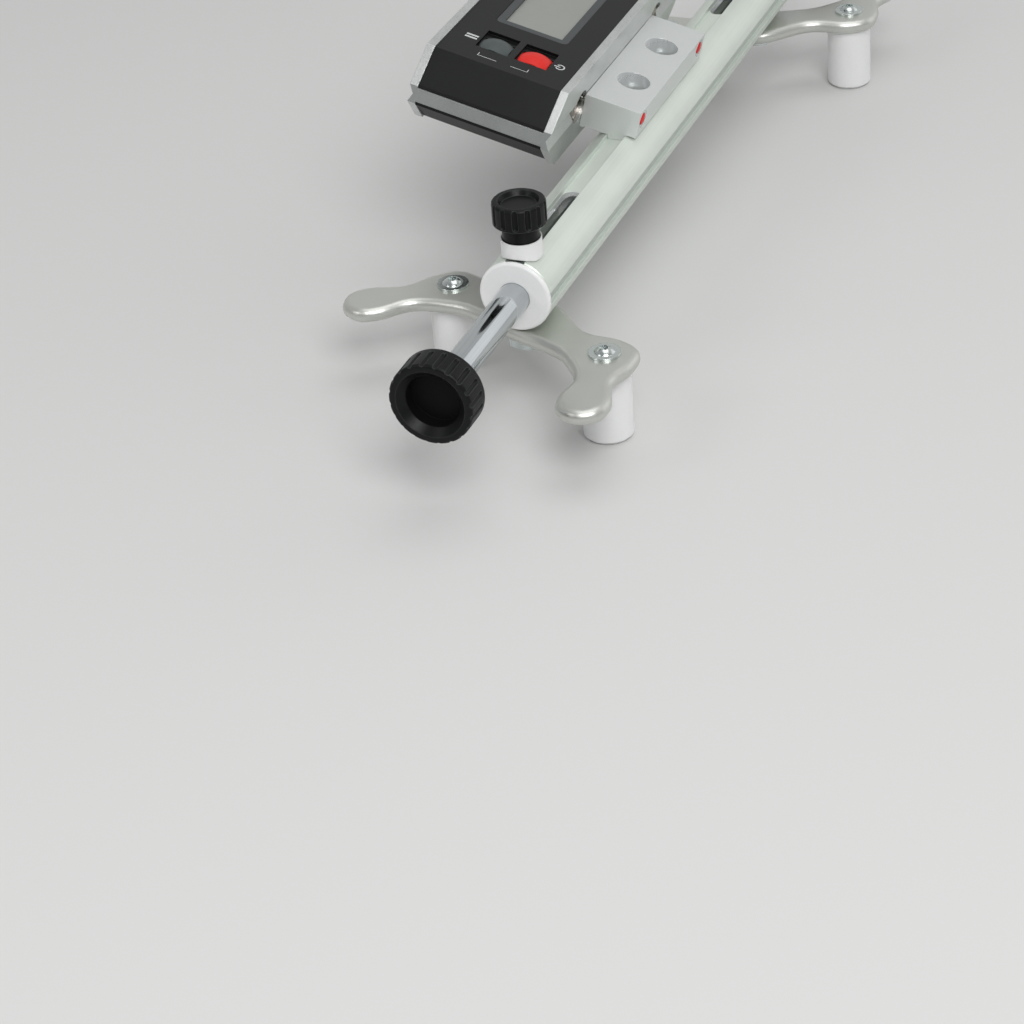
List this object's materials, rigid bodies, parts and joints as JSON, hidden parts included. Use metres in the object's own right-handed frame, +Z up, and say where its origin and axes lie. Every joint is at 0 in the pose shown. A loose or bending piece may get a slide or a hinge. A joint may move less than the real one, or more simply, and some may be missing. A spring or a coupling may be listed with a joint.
{
  "type": "digital steering wheel level",
  "caption": "Digital level on a round profile bar with sliding chromed rods and swivelling claws that grip a steering wheel's rim by white pegs.",
  "frame": {"origin": "under the middle of the bar, on the plane that the four peg ends stand on", "axes": "+X along the bar away from the button end, +Y towards the level, +Z up"},
  "size_m": [0.4636, 0.126, 0.1056],
  "materials": {
    "anodised_bar": "pale grey-green satin anodising with fine draw lines",
    "white_acetal": "smooth white, slightly waxy",
    "milled_block": "milled and anodised, satin",
    "zinc_steel": "bright zinc plate",
    "red_lacquer": "glossy sealing lacquer",
    "satin_extrusion": "brushed along its length",
    "charcoal_plastic": "fine moulded grain",
    "bezel_plastic": "smooth dark grey",
    "display_glass": "grey reflective liquid-crystal display",
    "board_laminate": "green solder mask",
    "chip_plastic": "moulded black",
    "black_plastic": "fine moulded grain",
    "cell_wrap": "printed foil wrap",
    "grey_button": "smooth blue-grey",
    "red_button": "smooth red",
    "chrome_rod": "mirror chrome",
    "knob_plastic": "black phenolic, half gloss",
    "satin_claw": "bead-blasted, satin anodised",
    "nickel_plate": "bright nickel plate",
    "printed_ink": "thin white screen print"
  },
  "bodies": {
    "bar": {"profile_bar": "anodised_bar", "near_end_ring": "white_acetal", "far_end_ring": "white_acetal", "mounting_block": "milled_block", "block_screws": "zinc_steel", "nut_strip": "zinc_steel", "level_screws": "zinc_steel", "screw_seals": "red_lacquer", "base_magnets": "nickel_plate", "level_frame": "satin_extrusion", "front_housing": "charcoal_plastic", "display_frame": "bezel_plastic", "display_panel": "display_glass", "circuit_board": "board_laminate", "board_screws": "zinc_steel", "tilt_sensor": "chip_plastic", "buzzer": "chip_plastic", "key_switches": "zinc_steel", "back_cover": "black_plastic", "cover_screws": "zinc_steel", "battery_door": "black_plastic", "batteries": "cell_wrap"},
    "hold_key": {"hold_button": "grey_button"},
    "power_key": {"power_button": "red_button"},
    "near_slide": {"near_rod": "chrome_rod", "near_guide_bush": "white_acetal", "near_end_knob": "knob_plastic", "near_stud": "zinc_steel", "near_collar": "white_acetal"},
    "near_lock": {"near_lock_knob": "knob_plastic"},
    "near_grip": {"near_claw": "satin_claw", "near_pegs": "white_acetal", "near_peg_screws": "zinc_steel"},
    "far_slide": {"far_rod": "chrome_rod", "far_guide_bush": "white_acetal", "far_end_knob": "knob_plastic", "far_stud": "zinc_steel", "far_collar": "white_acetal"},
    "far_lock": {"far_lock_knob": "knob_plastic"},
    "far_grip": {"far_claw": "satin_claw", "far_pegs": "white_acetal", "far_peg_screws": "zinc_steel"}
  },
  "joints": [
    {"name": "near_slide_in", "type": "slide", "parent": "bar", "child": "near_slide", "axis": [1, 0, 0], "range_m": [0, 0.046]},
    {"name": "far_slide_in", "type": "slide", "parent": "bar", "child": "far_slide", "axis": [-1, 0, 0], "range_m": [0, 0.046]},
    {"name": "near_claw_swivel", "type": "hinge", "parent": "near_slide", "child": "near_grip", "pos_m": [-0.141, 0, 0.031], "axis": [0, 0, 1], "range_deg": [-10, 60]},
    {"name": "far_claw_swivel", "type": "hinge", "parent": "far_slide", "child": "far_grip", "pos_m": [0.141, 0, 0.031], "axis": [0, 0, 1], "range_deg": [-60, 10]},
    {"name": "near_lock_turn", "type": "hinge", "parent": "near_slide", "child": "near_lock", "pos_m": [-0.141, 0, 0.075], "axis": [0, 0, 1], "range_deg": [0, 270]},
    {"name": "far_lock_turn", "type": "hinge", "parent": "far_slide", "child": "far_lock", "pos_m": [0.141, 0, 0.075], "axis": [0, 0, 1], "range_deg": [0, 270]},
    {"name": "hold_press", "type": "slide", "parent": "bar", "child": "hold_key", "axis": [0, 0.2538, -0.9673], "range_m": [0, 0.0008], "stiffness_N_per_m": 1500},
    {"name": "power_press", "type": "slide", "parent": "bar", "child": "power_key", "axis": [0, 0.2538, -0.9673], "range_m": [0, 0.0008], "stiffness_N_per_m": 1500}
  ]
}
